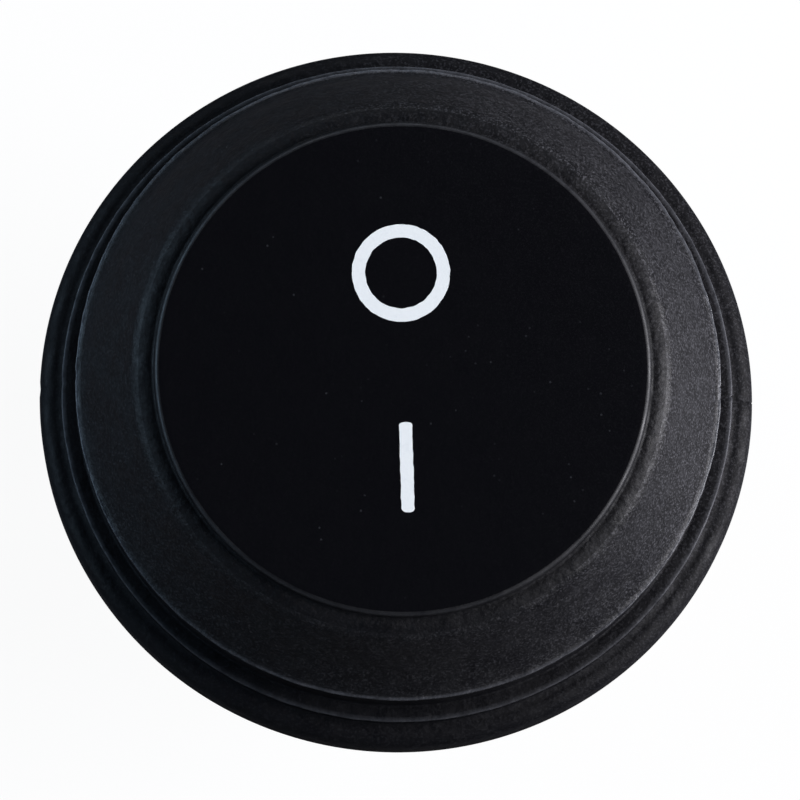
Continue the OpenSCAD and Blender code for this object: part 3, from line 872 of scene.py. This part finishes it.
def white_world(scene):
    """White behind the object, and a dim cool light that fades towards the zenith."""
    world = bpy.data.worlds.new("studio")
    scene.world = world
    world.use_nodes = True
    nodes, links = world.node_tree.nodes, world.node_tree.links
    ambient = nodes["Background"]
    ambient.inputs["Color"].default_value = SKY_TONE
    coords = nodes.new("ShaderNodeTexCoord")
    split = nodes.new("ShaderNodeSeparateXYZ")
    fade = graded(nodes, SKY)
    links.new(coords.outputs["Generated"], split.inputs[0])
    links.new(split.outputs["Z"], fade.inputs["Value"])
    links.new(fade.outputs["Result"], ambient.inputs["Strength"])
    white = nodes.new("ShaderNodeBackground")
    white.inputs["Color"].default_value = (1, 1, 1, 1)
    path = nodes.new("ShaderNodeLightPath")
    direct = nodes.new("ShaderNodeMath")
    direct.operation = "MAXIMUM"
    seen = nodes.new("ShaderNodeMixShader")
    links.new(path.outputs["Is Camera Ray"], direct.inputs[0])
    links.new(path.outputs["Is Transmission Ray"], direct.inputs[1])
    links.new(direct.outputs[0], seen.inputs["Fac"])
    links.new(ambient.outputs[0], seen.inputs[1])
    links.new(white.outputs[0], seen.inputs[2])
    links.new(seen.outputs[0], nodes["World Output"].inputs["Surface"])


# Camera: film width, and its aim on the bezel with small offsets across the picture
SENSOR_WIDTH = 36
CAMERA_AIM = Vector((0.0, 0.0, 0.85)) * MM
AIM_RIGHT = 0.11 * MM
AIM_DOWN = 0.12 * MM


class SWITCH_OT_studio(Operator):
    """Pale floor, soft lights and camera"""

    bl_idname = "switch.studio"
    bl_label = "Studio"

    def execute(self, context):
        s, scene = context.scene.switch_studio, context.scene
        bm = bmesh.new()
        bmesh.ops.create_circle(bm, cap_ends=True, segments=96, radius=FLOOR_RADIUS)
        low = CAD_BOX[0][2] / MM - FLOOR_GAP
        bmesh.ops.translate(bm, vec=(0, 0, low), verts=bm.verts)
        floor = finish_mesh(bm, "floor", [floor_material()], smooth=False)

        soft_light("key_softbox", azimuth=-4, elevation=24, distance=0.30, size=(0.20, 0.24),
                   power=s.key, tone=(0.96, 0.95, 1.0))
        soft_light("fill_left", azimuth=168, elevation=22, distance=0.32, size=(0.30, 0.20),
                   power=s.fill, tone=(0.52, 0.76, 1.0))
        soft_light("top_strip", azimuth=95, elevation=28, distance=0.34, size=(0.26, 0.10),
                   power=s.top, tone=(0.95, 0.97, 1.0))
        white_world(scene)

        back = Vector((-math.sin(s.side), -math.sin(s.lean), 0))
        back.z = math.sqrt(1 - back.length_squared)
        up = (Vector((0, 1, 0)) - back * back.y).normalized()
        right = up.cross(back)
        data = bpy.data.cameras.new("camera")
        data.lens = s.lens
        data.sensor_width = SENSOR_WIDTH
        distance = s.frame_width / 2 / (data.sensor_width / 2 / data.lens)
        target = CAMERA_AIM + right * AIM_RIGHT - up * AIM_DOWN
        camera = bpy.data.objects.new("camera", data)
        camera.matrix_world = Matrix.Translation(target + back * distance) @ Matrix(
            (right, up, back)).transposed().to_4x4()
        data.clip_start = 0.05
        data.clip_end = 10
        scene.collection.objects.link(camera)
        scene.camera = camera
        scene.view_settings.view_transform = "Standard"
        return {"FINISHED"}


class SWITCH_PT_parts(Panel):
    """Lists the switch's pieces"""

    bl_label = "Rocker switch"
    bl_idname = "SWITCH_PT_parts"
    bl_space_type = "VIEW_3D"
    bl_region_type = "UI"
    bl_category = "Switch"

    def draw(self, context):
        for operator in OPERATORS:
            self.layout.operator(operator.bl_idname)
        for name in GROUPS:
            box = self.layout.box()
            group = getattr(context.scene, name)
            for key in group.__annotations__:
                box.prop(group, key)


OPERATORS = (SWITCH_OT_boot, SWITCH_OT_marks, SWITCH_OT_springs, SWITCH_OT_mouldings,
             SWITCH_OT_metalwork, SWITCH_OT_studio)
GROUPS = {"switch_boot": SWITCH_PG_boot, "switch_marks": SWITCH_PG_marks,
          "switch_colours": SWITCH_PG_colours, "switch_studio": SWITCH_PG_studio}


def register():
    for cls in (*GROUPS.values(), *OPERATORS, SWITCH_PT_parts):
        bpy.utils.register_class(cls)
    for name, cls in GROUPS.items():
        setattr(bpy.types.Scene, name, PointerProperty(type=cls))


def unregister():
    for name in GROUPS:
        delattr(bpy.types.Scene, name)
    for cls in reversed((*GROUPS.values(), *OPERATORS, SWITCH_PT_parts)):
        bpy.utils.unregister_class(cls)


def main():
    register()
    bpy.ops.switch.boot()
    bpy.ops.switch.marks()
    bpy.ops.switch.springs()
    bpy.ops.switch.mouldings()
    bpy.ops.switch.metalwork()
    bpy.ops.switch.studio()


if __name__ == "__main__":
    main()
